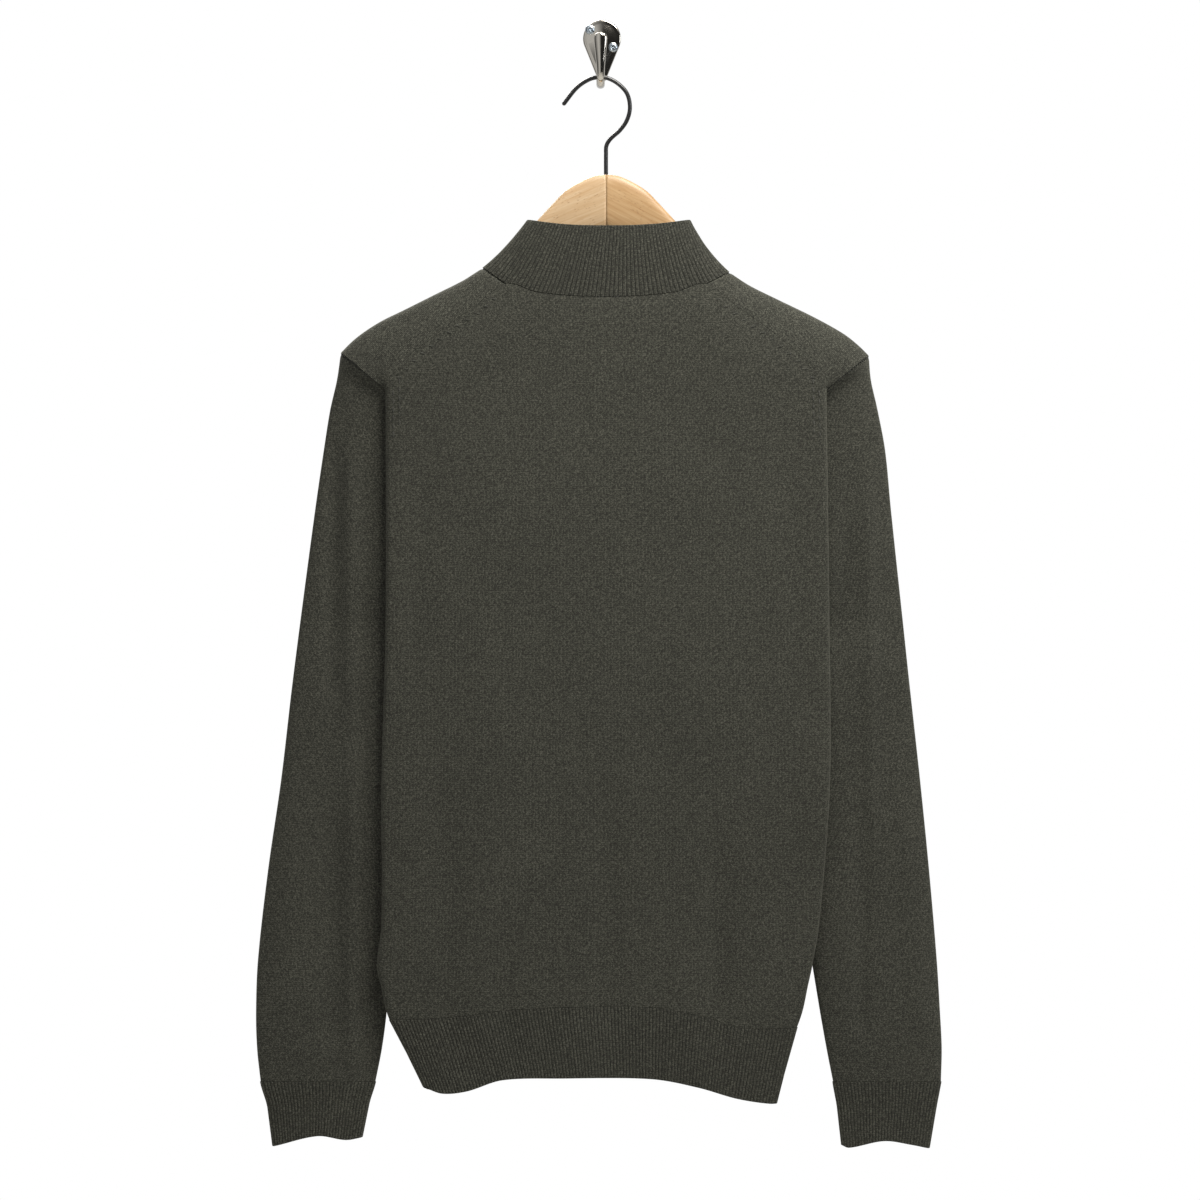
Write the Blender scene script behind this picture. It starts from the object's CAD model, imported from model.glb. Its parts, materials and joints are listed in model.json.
import json
import math
from functools import partial
import bpy
import numpy as np
from mathutils import Vector
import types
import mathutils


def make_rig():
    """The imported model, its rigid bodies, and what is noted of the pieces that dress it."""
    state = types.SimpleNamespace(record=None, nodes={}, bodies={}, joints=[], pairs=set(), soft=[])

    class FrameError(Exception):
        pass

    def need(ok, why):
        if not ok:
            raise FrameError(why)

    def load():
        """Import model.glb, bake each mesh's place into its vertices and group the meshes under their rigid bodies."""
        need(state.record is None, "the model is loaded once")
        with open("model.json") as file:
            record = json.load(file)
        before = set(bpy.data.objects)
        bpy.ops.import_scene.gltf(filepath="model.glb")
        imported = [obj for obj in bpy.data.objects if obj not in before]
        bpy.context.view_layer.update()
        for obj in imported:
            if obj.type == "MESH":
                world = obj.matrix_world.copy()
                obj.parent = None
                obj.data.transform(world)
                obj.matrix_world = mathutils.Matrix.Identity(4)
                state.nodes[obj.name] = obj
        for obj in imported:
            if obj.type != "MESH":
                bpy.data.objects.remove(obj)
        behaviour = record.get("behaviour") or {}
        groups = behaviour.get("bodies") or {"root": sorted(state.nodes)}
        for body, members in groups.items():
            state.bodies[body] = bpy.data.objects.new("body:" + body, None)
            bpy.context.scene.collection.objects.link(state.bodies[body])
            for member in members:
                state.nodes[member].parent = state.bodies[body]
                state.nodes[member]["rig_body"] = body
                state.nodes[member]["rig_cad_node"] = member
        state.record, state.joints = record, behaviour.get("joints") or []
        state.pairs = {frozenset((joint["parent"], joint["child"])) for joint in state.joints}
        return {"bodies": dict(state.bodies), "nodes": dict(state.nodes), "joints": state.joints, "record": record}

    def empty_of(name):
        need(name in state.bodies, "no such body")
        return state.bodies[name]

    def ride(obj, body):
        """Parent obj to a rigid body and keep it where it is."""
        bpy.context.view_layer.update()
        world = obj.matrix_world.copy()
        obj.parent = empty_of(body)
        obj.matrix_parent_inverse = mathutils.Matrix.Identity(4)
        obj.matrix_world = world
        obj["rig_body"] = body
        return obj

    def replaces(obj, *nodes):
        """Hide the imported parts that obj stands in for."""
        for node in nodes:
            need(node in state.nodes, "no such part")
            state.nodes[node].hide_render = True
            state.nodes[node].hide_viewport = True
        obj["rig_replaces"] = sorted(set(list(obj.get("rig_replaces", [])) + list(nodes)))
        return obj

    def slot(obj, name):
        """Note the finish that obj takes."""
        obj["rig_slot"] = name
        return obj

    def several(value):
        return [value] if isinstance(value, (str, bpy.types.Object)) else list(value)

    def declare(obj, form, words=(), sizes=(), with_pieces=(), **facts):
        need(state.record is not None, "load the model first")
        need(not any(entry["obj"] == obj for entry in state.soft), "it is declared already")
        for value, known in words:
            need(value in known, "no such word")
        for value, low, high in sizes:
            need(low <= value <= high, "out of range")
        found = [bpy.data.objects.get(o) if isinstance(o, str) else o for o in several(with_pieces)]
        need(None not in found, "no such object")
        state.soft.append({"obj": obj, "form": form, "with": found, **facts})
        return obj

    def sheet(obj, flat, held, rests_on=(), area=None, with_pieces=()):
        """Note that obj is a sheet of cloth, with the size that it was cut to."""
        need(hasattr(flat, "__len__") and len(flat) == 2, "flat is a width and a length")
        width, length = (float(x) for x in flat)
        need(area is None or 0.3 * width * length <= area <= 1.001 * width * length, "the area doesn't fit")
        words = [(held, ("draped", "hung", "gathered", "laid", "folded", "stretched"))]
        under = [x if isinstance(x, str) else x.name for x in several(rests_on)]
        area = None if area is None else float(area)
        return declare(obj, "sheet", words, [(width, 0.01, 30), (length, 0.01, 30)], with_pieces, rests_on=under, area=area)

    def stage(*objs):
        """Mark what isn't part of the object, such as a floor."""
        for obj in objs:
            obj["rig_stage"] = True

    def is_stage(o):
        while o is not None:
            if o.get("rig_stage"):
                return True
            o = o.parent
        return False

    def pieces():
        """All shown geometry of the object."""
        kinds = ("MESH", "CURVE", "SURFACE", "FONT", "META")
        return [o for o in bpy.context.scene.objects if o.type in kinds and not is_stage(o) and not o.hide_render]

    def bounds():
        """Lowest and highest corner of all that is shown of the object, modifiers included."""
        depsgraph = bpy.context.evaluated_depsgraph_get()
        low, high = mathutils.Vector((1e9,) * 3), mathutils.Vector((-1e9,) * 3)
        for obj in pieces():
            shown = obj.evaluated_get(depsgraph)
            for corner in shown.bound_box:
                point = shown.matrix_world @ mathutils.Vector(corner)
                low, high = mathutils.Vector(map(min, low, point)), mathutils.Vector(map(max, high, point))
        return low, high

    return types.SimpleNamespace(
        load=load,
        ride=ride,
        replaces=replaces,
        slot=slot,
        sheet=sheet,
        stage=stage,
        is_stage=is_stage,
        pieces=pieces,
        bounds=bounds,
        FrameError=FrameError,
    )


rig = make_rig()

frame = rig.load()
cadBox = [list(corner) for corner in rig.bounds()]
print("frame loaded")

# Forms are worked out in millimetres, in the frame's axes: X right, Y to the wall, Z up.
# side is -1 at the left and 1 at the right, face -1 towards the room (back) and 1 to the wall (front).


def table(names, rows):  # rows of numbers as one array for each named column
    return dict(zip(names.split(), np.array(rows, float).T))


def reading(rows, key, at, column):  # cubic through the rows, each slope is rise / run of its neighbours
    keys, values = rows[key], rows[column]
    slopes = np.empty(len(keys))
    slopes[1:-1] = (values[2:] - values[:-2]) / (keys[2:] - keys[:-2])
    slopes[[0, -1]] = np.diff(values)[[0, -1]] / np.diff(keys)[[0, -1]]
    at = np.clip(at, keys[0], keys[-1])
    i = np.clip(np.searchsorted(keys, at, side="right") - 1, 0, len(keys) - 2)
    span = keys[i + 1] - keys[i]
    t = (at - keys[i]) / span
    rise, a, b = values[i + 1] - values[i], slopes[i] * span, slopes[i + 1] * span
    return values[i] + a * t + (3 * rise - 2 * a - b) * t**2 + (a + b - 2 * rise) * t**3


def readings(rows, key, at, columns):
    return [reading(rows, key, at, column) for column in columns.split()]


def smooth(x):  # 3x^2 - 2x^3 between 0 and 1
    x = np.clip(x, 0, 1)
    return x * x * (3 - 2 * x)


def mix(a, b, t):
    return a + (b - a) * t


def points(x, y, z):  # three arrays of any matching shapes as one array of points
    return np.stack(np.broadcast_arrays(x, y, z), -1).astype(float)


def unit(vectors):  # each vector over its length
    return vectors / np.maximum(np.linalg.norm(vectors, axis=-1, keepdims=True), 1e-9)


def runLength(line, power=1):  # running sum along a line of the lengths of its steps, each to a power
    return np.concatenate([[0], np.cumsum(np.linalg.norm(np.diff(line, axis=0), axis=1) ** power)])


def readLine(line, length, at):  # a line of vectors read at these running lengths
    return np.stack([np.interp(at, length, line[:, k]) for k in range(3)], -1)


def circle(count):  # even angles once round
    return np.linspace(0, 2 * np.pi, count, endpoint=False)


garment = {
    "centreX": 3.4,
    "middleY": -30,
    "halfDepth": 24,
    "domeHeight": 75,  # the body has its full depth this far below the shoulder
    "seamGap": 0.05,
    "armholeGap": 0.1,
    "foldRadius": 5,
    "foldEase": 0.08,  # share of the depth that is lost towards the side folds
    "tuckBend": 0.9,
    "zipHalf": 5,
    "slitZ": -402,
    "frontHemRise": 3,
    "hemEdge": 165,
    "hemTuckRise": 1.5,
    "neckHalf": 105,
    "neckCorner": 85,
    "flatHalf": 182,  # the open face ends and the side fold begins
    "tip": {"left": 226, "right": 224},
}

bodySides = table("z left right tuck", [
    (-960, 120, 118, 42), (-912, 146, 143.5, 44), (-896, 154, 147, 45), (-880, 164, 150.5, 46),
    (-860, 173, 156, 48), (-834, 185.5, 166, 50), (-809, 191, 171.5, 54), (-793, 194.5, 175, 56),
    (-757, 190.5, 181, 60), (-639, 190.5, 190, 66), (-500, 187, 189.5, 70), (-303, 187, 187, 70),
])
armhole = table("z tuck turn inset half lift", [
    (-500, 70, 180, 0.4, 6.5, 0), (-489, 69, 180, 3.8, 7.5, 1), (-470, 66, 180, 7, 8.5, 3),
    (-436, 58, 180, 9.5, 9.3, 6), (-402, 47, 180, 10.5, 9.5, 10), (-370, 35, 180, 11, 9.8, 14),
    (-343, 22, 180, 11.3, 10.2, 18), (-323, 12, 170, 11.8, 11, 22), (-311, 4, 120, 12.8, 12.5, 27),
    (-303, -1.5, 60, 16, 14, 31),
])
shoulderTop = table("out left right", [
    (0, -172, -172), (40, -176, -176), (70, -185, -185), (85, -191, -192), (105, -200, -203.5),
    (122, -210.5, -214.5), (143, -221, -225), (173, -236, -239.5), (191, -244.8, -249),
    (205, -253.5, -257.5), (216, -262, -266.5), (226, -272, -276.5),
])
backTopLine = table("out z", [
    (0, -226), (30, -225), (60, -221.5), (85, -214.5), (110, -233), (138, -253), (160, -272),
    (174, -287), (182, -299), (187, -303),
])
frontNeckLine = table("out z", [(0, -276), (30, -271), (60, -252), (78, -229), (85, -214.5)])
hemLines = table("x seam bottom", [
    (-195, -839, -893), (-155, -838, -896), (-139, -837, -901), (-118, -835, -899), (-88, -831, -889.5),
    (-38, -828, -888), (38, -828, -888.5), (79, -835, -896), (112, -845, -905.5), (144, -846, -910),
    (170, -844, -909),
])
underarm, corner = armhole["z"][0], armhole["z"][-1]

# Main soft folds of the body: hollows, and ridges with a negative depth, as they hang in the photo;
# lean is how far the fold drifts sideways for each millimetre down
bodyFolds = table("face x top bottom width depth lean", [
    (-1, -2, -590, -840, 16, 3.2, 0.01), (-1, 93, -640, -850, 13, 3.8, 0.02), (-1, 62, -740, -850, 13, -1.8, 0),
    (-1, -85, -730, -845, 12, 2.6, -0.02), (-1, -138, -600, -840, 14, 2.2, 0.02),
    (-1, -148, -330, -560, 11, 1.5, -0.10), (-1, 150, -335, -590, 12, 1.4, 0.09),
    (-1, -172, -420, -700, 9, -1.2, 0), (-1, 170, -440, -690, 9, -1.1, 0.02),
    (-1, 38, -500, -760, 24, 0.9, 0.05), (-1, -52, -420, -690, 26, 0.8, -0.04),
    (1, 18, -560, -840, 22, 2.6, 0), (1, -70, -640, -845, 18, 2.8, 0.02), (1, 110, -700, -850, 15, 2, -0.01),
    (1, -125, -740, -840, 14, -1.6, 0), (1, 146, -340, -600, 12, 1.5, 0.1), (1, -150, -350, -570, 12, 1.3, -0.08),
])
foldFade = {"top": 90, "bottom": 25}  # millimetres in which a fold comes and goes
# The sleeves' folds, x measured outwards from the garment's centre line
sleeveFolds = table("side face x top bottom width depth lean", [
    (-1, -1, 216.5, -325, -875, 6.5, -2.9, 0), (-1, -1, 231, -300, -560, 8, 3.2, 0.01),
    (-1, -1, 232, -620, -860, 13, 3.6, 0.02), (-1, -1, 262, -560, -830, 12, -1.4, 0.05),
    (1, -1, 222.5, -340, -670, 6.5, -2.9, 0.01), (1, -1, 217.5, -640, -850, 6.5, 2.8, 0),
    (1, -1, 246, -600, -850, 11, -1.8, 0.09), (1, -1, 206, -345, -560, 6.5, 2, -0.03),
    (-1, 1, 224, -350, -700, 10, 2, 0.03), (-1, 1, 250, -640, -860, 13, -1.6, 0.04),
    (1, 1, 215, -380, -720, 10, 2.1, 0.04), (1, 1, 247, -660, -860, 12, -1.4, 0.05),
])


def foldDepth(folds, across, z):
    # sum of depth * exp(-((x - x0)/width)^2), faded in from the top and out at the bottom
    total = 0
    for x, top, bottom, width, depth, lean in zip(*(folds[k] for k in "x top bottom width depth lean".split())):
        along = np.clip((top - z) / foldFade["top"], 0, 1)
        along = along * np.clip((z - bottom) / foldFade["bottom"] + 0.5, 0, 1)
        total = total + depth * np.exp(-(((across - x - lean * (top - z)) / width) ** 2)) * smooth(along)
    return total


def chosen(folds, **where):  # the rows of a table whose named columns have these values
    keep = np.all([folds[k] == v for k, v in where.items()], axis=0)
    return {k: v[keep] for k, v in folds.items()}


def sideName(side):
    return "left" if side < 0 else "right"


def place(side, face, out, offset, z):  # a spot on the garment as a point
    return points(garment["centreX"] + side * out, garment["middleY"] + face * offset, z)


def faceOffset(name, out, z):  # halfDepth * sqrt(1 - s^2), s falling from 1 at the shoulder's top line to 0
    share = np.clip(1 - (reading(shoulderTop, "out", out, name) - z) / garment["domeHeight"], 0, 1)
    return garment["halfDepth"] * np.sqrt(1 - share**2)


def seamLine(side, key, rise, out):  # height of the hem's seam or bottom edge
    return reading(hemLines, "x", side * np.minimum(out, garment["hemEdge"]), key) + rise


def bezier(a, b, c, t):  # (1 - t)^2 a + 2t(1 - t) b + t^2 c
    return (1 - t) ** 2 * a + 2 * t * (1 - t) * b + t**2 * c


def bodySection(side, face, level, zAt, column, firstOut):
    # column 0 to 1 runs over the open face at out = column * flat; 1 to 2 round the side fold, a circle of
    # foldRadius; 2 to 3 through the tuck, a quadratic Bezier curve that leaves the fold along its tangent
    edge, tuck, turn, inset = level
    flat, radius = edge - garment["foldRadius"], garment["foldRadius"]
    share = np.clip(column, 0, 1)
    out = np.maximum(share * flat, firstOut)
    zOpen, zEdge = zAt(out), zAt(edge)
    offset = faceOffset(sideName(side), out, zOpen) * (1 - garment["foldEase"] * share**4)
    offset = offset - foldDepth(chosen(bodyFolds, face=face), side * out, zOpen)
    angle = np.radians(turn) * np.clip(column - 1, 0, 1)
    start = offset[:, -1:] - radius
    outFold, offsetFold = flat + radius * np.sin(angle), start + radius * np.cos(angle)
    a, b = outFold[:, -1:], offsetFold[:, -1:]
    reach = garment["tuckBend"] * np.hypot(edge - tuck - a, inset - b)
    bendOut, bendOffset = a + reach * np.cos(np.radians(turn)), b - reach * np.sin(np.radians(turn))
    t = np.clip(column - 2, 0, 1)
    outTuck, offsetTuck = bezier(a, bendOut, edge - tuck, t), bezier(b, bendOffset, inset, t)
    z = mix(zOpen, zEdge, smooth((column - 1) * 2))
    pick = [column + 0 * a <= 1, column + 0 * a <= 2]
    return np.select(pick, [out, outFold], outTuck), np.select(pick, [offset, offsetFold], offsetTuck), z


def panelHalf(side, face, levels, column):
    # levels 0 to 1 go from the hem seam to the underarm, 1 to 2 from there to the top line
    name = sideName(side)
    low, high = np.clip(levels, 0, 1)[:, None], np.clip(levels - 1, 0, 1)[:, None]
    rise = garment["seamGap"] + (garment["frontHemRise"] if face > 0 else 0)

    def zAt(out):
        seam = seamLine(side, "seam", rise, out)
        top = reading(backTopLine, "out", out, "z") - (garment["seamGap"] if face < 0 else 0)
        if face > 0:
            top = np.where(out < garment["neckCorner"], reading(frontNeckLine, "out", out, "z"), top)
        return mix(seam, underarm, low) + (top - underarm) * high

    height = np.where(high > 0, mix(underarm, corner, high), zAt(garment["hemEdge"]))
    edge, lowTuck = readings(bodySides, "z", height, f"{name} tuck")
    highTuck, turn, inset = readings(armhole, "z", height, "tuck turn inset")
    tuck = np.where(high > 0, highTuck, lowTuck)
    firstOut = garment["zipHalf"] if face > 0 else 0
    return bodySection(side, face, (edge, tuck, turn, inset), zAt, column[None, :], firstOut)


def rimRound(distance, thickness):  # quarter circle: 0 at the edge, 1 from half a thickness inwards
    return np.sqrt(1 - (1 - np.clip(distance / (thickness / 2), 0, 1)) ** 2)


def alongRows(grid):  # running length of each row of a grid of points
    steps = np.linalg.norm(np.diff(grid, axis=1), axis=-1)
    return np.concatenate([np.zeros((len(grid), 1)), np.cumsum(steps, 1)], 1)


def patch(grid, uv, rim, flip=False, relief=None):
    # one grid of a cloth piece: its points, its knitting in millimetres and the distance to its free edges
    rows, columns = grid.shape[:2]
    a = (np.arange(rows - 1)[:, None] * columns + np.arange(columns - 1)).ravel()
    quads = np.stack([a, a + 1, a + 1 + columns, a + columns], -1)
    if flip:
        quads = quads[:, ::-1]
    relief = np.zeros((rows, columns)) if relief is None else relief
    return {"grid": grid.reshape(-1, 3), "uv": uv.reshape(-1, 2), "rim": rim.ravel(), "quads": quads,
            "relief": relief.ravel()}


def sceneObject(name, data):
    made = bpy.data.objects.new(name, data)
    bpy.context.scene.collection.objects.link(made)
    return made


def meshObject(name, vertices, faces, uvs, material):
    # vertices in millimetres; uvs has one row for each corner of the faces
    mesh = bpy.data.meshes.new(name)
    mesh.from_pydata((vertices / 1000).tolist(), [], faces.tolist() if isinstance(faces, np.ndarray) else faces)
    if uvs is not None:
        layer = mesh.uv_layers.new(name="knit")
        layer.data.foreach_set("uv", np.asarray(uvs, np.float32).ravel())
    mesh.shade_smooth()
    mesh.materials.append(material)
    made = sceneObject(name, mesh)
    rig.ride(made, "root")
    return made


def clothPiece(name, patches, thickness, material):
    # The outer face is point - normal * thickness/2 * (1 - r) + normal * relief and the inner one
    # point - normal * thickness/2 * (1 + r), where r is rimRound: both meet in a round edge.
    starts = np.cumsum([0] + [len(p["grid"]) for p in patches])
    grid, uv, rim, relief = (np.concatenate([p[k] for p in patches]) for k in ("grid", "uv", "rim", "relief"))
    quads = np.concatenate([p["quads"] + s for p, s in zip(patches, starts)])
    cornerUv = uv[quads]
    _, first, weld = np.unique(np.round(grid, 2), axis=0, return_index=True, return_inverse=True)
    quads = weld.ravel()[quads]
    spot, relief = grid[first], relief[first]
    roundness = np.zeros(len(first))
    np.maximum.at(roundness, weld.ravel(), rimRound(rim, thickness))
    across = np.cross(spot[quads[:, 2]] - spot[quads[:, 0]], spot[quads[:, 3]] - spot[quads[:, 1]])
    whole = np.array([len(set(q)) == 4 for q in quads.tolist()])
    quads, cornerUv, across = quads[whole], cornerUv[whole], across[whole]
    normal = np.zeros_like(spot)
    for k in range(4):
        np.add.at(normal, quads[:, k], across)
    normal = unit(normal)
    half = thickness / 2
    outer = spot - normal * (half * (1 - roundness) - relief * roundness)[:, None]
    inner = spot - normal * (half * (1 + roundness))[:, None]
    isOpen = roundness > 0
    innerIndex = np.where(isOpen, len(spot) + np.cumsum(isOpen) - 1, np.arange(len(spot)))
    vertices = np.concatenate([outer, inner[isOpen]])
    faces = np.concatenate([quads, innerIndex[quads][:, ::-1]])
    uvs = np.concatenate([cornerUv, cornerUv[:, ::-1]])
    return meshObject(name, vertices, faces, uvs, material)


seamRim = 6  # at a sewn edge the cloth is rounded this many times tighter than at a free one


def rimDistance(grid, sewn, free=""):
    # distance to the nearest edge: s first row, e last row, l first column, r last column
    across, down = alongRows(grid), alongRows(grid.swapaxes(0, 1)).T
    reach = {"s": down, "e": down[-1:] - down, "l": across, "r": across[:, -1:] - across}
    return np.minimum.reduce([reach[k] * seamRim for k in sewn] + [reach[k] for k in free])


def gridUv(grid, zero):  # wales by the length along each row from column zero, courses by height
    across = alongRows(grid)
    return np.stack([across - across[:, zero:zero + 1], grid[..., 2]], -1)


bodyGrid = {
    "neckColumns": 26,
    "openColumns": 28,
    "foldColumns": 12,
    "tuckColumns": 14,
    "lowRows": 90,
    "highRows": 64,
    "shoulderRows": 56,
    "slitLevel": 1 + (garment["slitZ"] - underarm) / (corner - underarm),
    # lengths that turn millimetres from an edge into levels, columns and shares
    "lowHeight": 340,
    "highHeight": 280,
    "tuckLength": 60,
    "yokeLength": 90,
}
neckShare = garment["neckCorner"] / garment["flatHalf"]
rimSteps = np.array([0, 0.12, 0.4, 0.8, 1.4])  # millimetres from an edge
columns = np.concatenate([
    np.linspace(0, neckShare, bodyGrid["neckColumns"]),
    np.linspace(neckShare, 1, bodyGrid["openColumns"])[1:],
    1 + np.linspace(0, 1, bodyGrid["foldColumns"])[1:],
    2 + np.linspace(0, 1, bodyGrid["tuckColumns"])[1:-1],
    3 - rimSteps[::-1] / bodyGrid["tuckLength"],
])
neckColumn = bodyGrid["neckColumns"] - 1
levels = np.unique(np.concatenate([
    rimSteps / bodyGrid["lowHeight"],
    np.linspace(0, 1, bodyGrid["lowRows"])[1:],
    np.linspace(1, 2, bodyGrid["highRows"])[:-1],
    [bodyGrid["slitLevel"]],
    2 - rimSteps / bodyGrid["highHeight"],
]))
slitRow = int(np.argmin(abs(levels - bodyGrid["slitLevel"])))
halves = {(side, face): panelHalf(side, face, levels, columns) for side in (-1, 1) for face in (-1, 1)}


def shoulderGrid(side, share, line, column):
    # The front runs over the shoulder to the seam on the back: share 1 at the back, 0 on the top line,
    # -1 where the front panel ends. Offset is halfDepth * sin(angle * |share|), height the top line
    # less domeHeight * (1 - cos(angle * share)).
    name = sideName(side)
    outs, offsets, heights = line
    inner, outer = outs[0], outs[-1]
    near = mix(garment["neckHalf"], inner, share**2)
    far = mix(garment["tip"][name], outer, share**2)
    even = np.interp(column, [neckShare, 1, 2, 3], [0, 5 / 11, 8 / 11, 1])
    out = mix(near, far, mix(even, (outs - inner) / (outer - inner), share**2))
    drop = garment["domeHeight"]
    angle = np.arccos(np.clip(1 - (reading(shoulderTop, "out", outs, name) - heights) / drop, -1, 1))
    settle = offsets - garment["halfDepth"] * np.sin(angle)
    offset = garment["halfDepth"] * np.sin(angle * abs(share)) + settle * share**4
    z = reading(shoulderTop, "out", out, name) - drop * (1 - np.cos(angle * share))
    return place(side, np.where(share > 0, -1, 1), out, offset, z)


def frontEdge(side):  # out, offset and height along the last row of a front half, from the neck corner outwards
    return [part[-1, neckColumn:] for part in halves[side, 1]]


shoulderShares = [np.linspace(1, -1, bodyGrid["shoulderRows"]), 1 - rimSteps / bodyGrid["yokeLength"]]
shoulderShares = np.unique(np.concatenate(shoulderShares))[::-1][:, None]
shoulders = {side: shoulderGrid(side, shoulderShares, frontEdge(side), columns[neckColumn:]) for side in (-1, 1)}

wool = {
    "thickness": 1.5,
    "ribThickness": 1.9,
    "collarThickness": 2.4,
}


def backPanel(material):
    left, right = (place(side, -1, *halves[side, -1]) for side in (-1, 1))
    grid = np.concatenate([left[:, ::-1], right[:, 1:]], 1)
    return clothPiece("back_cloth", [patch(grid, gridUv(grid, len(columns) - 1), rimDistance(grid, "selr"))],
                      wool["thickness"], material)


def frontPanel(material):
    patches = []
    slitZ = halves[1, 1][2][slitRow, 0]
    inner = {}
    for side in (-1, 1):
        grid = place(side, 1, *halves[side, 1])
        toSlit = np.hypot(np.maximum(abs(grid[..., 0] - garment["centreX"]) - garment["zipHalf"], 0),
                          np.maximum(slitZ - grid[..., 2], 0))
        toNeck = np.where(columns[None, :] <= neckShare, rimDistance(grid, "e"), 1e3)
        rim = np.minimum.reduce([rimDistance(grid, "sr"), toNeck, toSlit])
        patches.append(patch(grid, gridUv(grid, 0) * [side, 1], rim, flip=side > 0))
        inner[side] = grid[:slitRow + 1, 0]
        yoke = shoulders[side].copy()
        yoke[-1] = grid[-1, neckColumn:]
        patches.append(patch(yoke, gridUv(yoke, 0) * [side, 1], rimDistance(yoke, "slr"), flip=side < 0))
    share = np.linspace(0, 1, 7)[None, :, None]
    bridge = mix(inner[-1][:, None], inner[1][:, None], share)
    rim = np.minimum(slitZ - bridge[..., 2], alongRows(bridge.swapaxes(0, 1)).T)
    patches.append(patch(bridge, gridUv(bridge, 3), rim, flip=True))
    return clothPiece("front_cloth", patches, wool["thickness"], material)


# Sleeves
sleeveRows = table("z outer_left inner_left outer_right inner_right half", [
    (-893, 294.5, 196.5, 285.6, 193.5, 7.5), (-865, 297.5, 191, 286.3, 188, 8.5),
    (-834, 298.4, 187, 284.8, 182.5, 8.5), (-789, 296.7, 184, 282, 175, 8.5), (-712, 288, 166, 275.4, 161, 8.5),
    (-636, 277, 149, 267.8, 147, 8.5), (-559, 268, 131, 259.3, 132, 8.5), (-500, 260.5, 117.8, 253, 120.3, 8.5),
    (-406, 248, 117, 243, 117, 9.5), (-355, 240.6, 117, 238, 117, 10), (-321, 235.2, 117, 231.6, 117, 11),
    (-296, 229.6, 117, 226.2, 117, 12), (-272, 226.4, 117, 224.4, 117, 14),
])
sleeveEdges = {name: {"z": sleeveRows["z"], "half": sleeveRows["half"], "outer": sleeveRows["outer_" + name],
                      "inner": sleeveRows["inner_" + name]} for name in ("left", "right")}
sleeveGrid = {
    "columns": 97,
    "highRows": 70,
    "lowRows": 130,
    "bottom": -893,
    "tipFade": 26,
    "underarmEase": 11,
    "slimBy": 2,
    "slimLength": 45,
}


def tubePoint(side, turn, outer, inner, half, inset, z):
    # flat tube: turn is -1 at its inner edge on the back, 0 at its outer edge, 1 at its inner edge on the
    # front; out = inner + (outer - inner)(1 + cos(pi turn))/2, offset = half |sin(pi turn)|^0.8, drawn
    # towards inset where the tube is open
    angle = np.pi * turn
    out = mix(inner, outer, (1 + np.cos(angle)) / 2)
    bulge = abs(np.sin(angle)) ** 0.8
    opened = np.where(inset > 0, ((1 - np.cos(angle)) / 2) ** 3, 0)
    offset = mix(half * bulge, inset, opened)
    for face in (-1, 1):
        depth = foldDepth(chosen(sleeveFolds, side=side, face=face), out, z)
        offset = offset - np.where(np.sign(turn) == face, depth * smooth(bulge * 1.3), 0)
    return place(side, np.where(turn < 0, -1, 1), out, offset, z)


def sleeve(side, material):
    name, gap, ease = sideName(side), garment["armholeGap"], sleeveGrid["underarmEase"]
    edges = sleeveEdges[name]
    turn = np.linspace(-1, 1, sleeveGrid["columns"])[None, :]
    high = np.linspace(corner, underarm, sleeveGrid["highRows"])[:, None]
    low = np.linspace(underarm, sleeveGrid["bottom"], sleeveGrid["lowRows"])[1:-1, None]
    low = np.concatenate([low, sleeveGrid["bottom"] + rimSteps[::-1][:, None]])

    def armholeRow(rowZ):
        fold, lift, tuck, inset, half = readings(armhole, "z", rowZ, "turn lift tuck inset half")
        spread, z = np.radians(fold / 2), rowZ + lift * (1 - turn**2)
        seam = reading(bodySides, "z", rowZ, name) - tuck + gap * np.cos(spread)
        seam = seam + 2 * garment["seamGap"] * smooth((underarm + ease - rowZ) / ease)
        inset = np.maximum(inset - gap * np.sin(spread), 0)
        return tubePoint(side, turn, reading(edges, "z", z, "outer"), seam, half, inset, z)

    tip = shoulderGrid(side, -turn[0][:, None], frontEdge(side), columns[neckColumn:])[:, -1]
    away = points(side * gap, gap * np.sign(-turn[0]) * turn[0] ** 4, -gap)
    upper = armholeRow(high)
    fade = 1 - smooth((corner - high) / sleeveGrid["tipFade"])
    upper = upper + (tip + away - armholeRow(np.array([[corner]]))[0])[None] * fade[..., None]
    slim = sleeveGrid["slimBy"] * (1 - smooth((underarm - low) / sleeveGrid["slimLength"]))
    outer, inner, half = readings(edges, "z", low, "outer inner half")
    lower = tubePoint(side, turn, outer, inner, half - slim, np.zeros((1, 1)), low + 0 * turn)
    grid = np.concatenate([upper, lower])
    closed = len(upper) - 1
    grid[closed:, -1] = grid[closed:, 0]
    rim = rimDistance(grid, "se")
    rim[:closed] = np.minimum(rim, rimDistance(grid, "lr"))[:closed]
    toUnderarm = np.linalg.norm(grid - grid[closed, 0], axis=-1)
    rim[closed:] = np.minimum(rim, toUnderarm)[closed:]
    cloth = patch(grid, gridUv(grid, sleeveGrid["columns"] // 2), rim, flip=side > 0)
    return clothPiece(f"sleeve_{name}_cloth", [cloth], wool["thickness"], material)


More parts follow.
